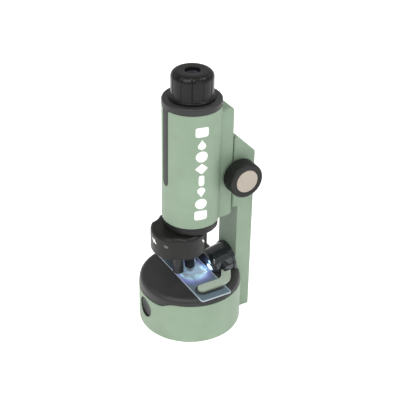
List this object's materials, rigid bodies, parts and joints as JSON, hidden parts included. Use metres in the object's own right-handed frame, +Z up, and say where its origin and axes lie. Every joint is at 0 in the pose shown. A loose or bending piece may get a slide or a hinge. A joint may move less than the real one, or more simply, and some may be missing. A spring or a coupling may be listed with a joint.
{
  "type": "kids microscope",
  "caption": "Child's microscope: sage green tube on a square post, black lit stage on a round drum base, turning objective turret, side focus knobs and stage clips.",
  "frame": {"origin": "centre of the round base's underside, below the optical axis", "axes": "+Z up the tube, +Y towards the post at the back, +X to the user's right along the focus shaft"},
  "size_m": [0.0808, 0.0882, 0.2122],
  "materials": {
    "sage_plastic": "satin moulded ABS, sage green",
    "black_plastic": "satin moulded ABS, black",
    "clip_plastic": "satin moulded POM, pale sage green",
    "cap_plastic": "satin moulded ABS, warm beige",
    "clear_glass": "polished",
    "frosted_window": "frosted acrylic",
    "specimen_film": "stained tissue",
    "rubber_pad": "matt",
    "screw_steel": "zinc plated",
    "cell_case": "shrink film over a metal can",
    "contact_metal": "nickel plated",
    "board_laminate": "solder resist",
    "led_resin": "clear epoxy",
    "shaft_steel": "ground",
    "gear_plastic": "natural POM"
  },
  "bodies": {
    "base": {"base_shell": "sage_plastic", "base_plate": "black_plastic", "base_screws": "screw_steel", "foot_pads": "rubber_pad", "battery_door": "black_plastic", "battery_door_screw": "screw_steel", "battery_cells": "cell_case", "battery_contacts": "contact_metal", "circuit_board": "board_laminate", "board_screws": "screw_steel", "lamp_led": "led_resin", "lamp_switch": "black_plastic", "stage_cap": "black_plastic", "stage_window": "frosted_window", "cowl": "black_plastic", "cowl_screws": "screw_steel", "post_shell": "sage_plastic", "post_cover": "sage_plastic", "head_guide": "sage_plastic", "rear_screws": "screw_steel", "post_foot_screws": "screw_steel"},
    "button": {"lamp_button": "black_plastic"},
    "clip_right": {"clip_right": "clip_plastic"},
    "clip_left": {"clip_left": "clip_plastic"},
    "slide": {"specimen_slide": "clear_glass", "cover_slip": "clear_glass", "specimen": "specimen_film"},
    "carriage": {"tube_shell": "sage_plastic", "inner_tube": "black_plastic", "collar": "black_plastic", "nosepiece": "black_plastic", "tube_lens": "clear_glass", "focus_rack": "gear_plastic", "turret_screw": "screw_steel"},
    "turret": {"turret_drum": "black_plastic", "objective_long": "black_plastic", "objective_medium": "black_plastic", "objective_short": "black_plastic", "objective_lens_long": "clear_glass", "objective_lens_medium": "clear_glass", "objective_lens_short": "clear_glass"},
    "knobs": {"focus_shaft": "shaft_steel", "focus_pinion": "gear_plastic", "focus_knob_right": "black_plastic", "focus_knob_left": "black_plastic", "knob_cap_right": "cap_plastic", "knob_cap_left": "cap_plastic", "knob_washers": "gear_plastic"},
    "eyepiece": {"eyepiece_body": "black_plastic", "eyepiece_lens": "clear_glass", "field_lens": "clear_glass"}
  },
  "joints": [
    {"name": "focus_travel", "type": "slide", "parent": "base", "child": "carriage", "axis": [0, 0, 1], "range_m": [-0.0022, 0.014]},
    {"name": "knob_turn", "type": "hinge", "parent": "base", "child": "knobs", "pos_m": [0, 0.0324, 0.126], "axis": [1, 0, 0], "range_deg": [-133.79, 21.11]},
    {"name": "turret_turn", "type": "hinge", "parent": "carriage", "child": "turret", "pos_m": [0, -0.0103, 0.0762], "axis": [0, 0, 1], "continuous": true},
    {"name": "eyepiece_turn", "type": "hinge", "parent": "carriage", "child": "eyepiece", "pos_m": [0, 0, 0.2], "axis": [0, 0, 1], "range_deg": [-60, 60]},
    {"name": "slide_shift", "type": "slide", "parent": "base", "child": "slide", "axis": [1, 0, 0], "range_m": [-0.012, 0.008]},
    {"name": "clip_right_lift", "type": "hinge", "parent": "base", "child": "clip_right", "pos_m": [0.018, 0.02386, 0.0446], "axis": [-1, 0, 0], "range_deg": [0, 12], "stiffness_Nm_per_rad": 0.02, "springref_deg": -11.46},
    {"name": "clip_left_lift", "type": "hinge", "parent": "base", "child": "clip_left", "pos_m": [-0.018, 0.02386, 0.0446], "axis": [-1, 0, 0], "range_deg": [0, 12], "stiffness_Nm_per_rad": 0.02, "springref_deg": -11.46},
    {"name": "lamp_button_press", "type": "slide", "parent": "base", "child": "button", "axis": [0, 1, 0], "range_m": [0, 0.0012], "stiffness_N_per_m": 400, "springref_m": -0.0006}
  ],
  "couplings": [
    {"joint": "knob_turn", "follows": "focus_travel", "rad_per_m": -166.67}
  ]
}
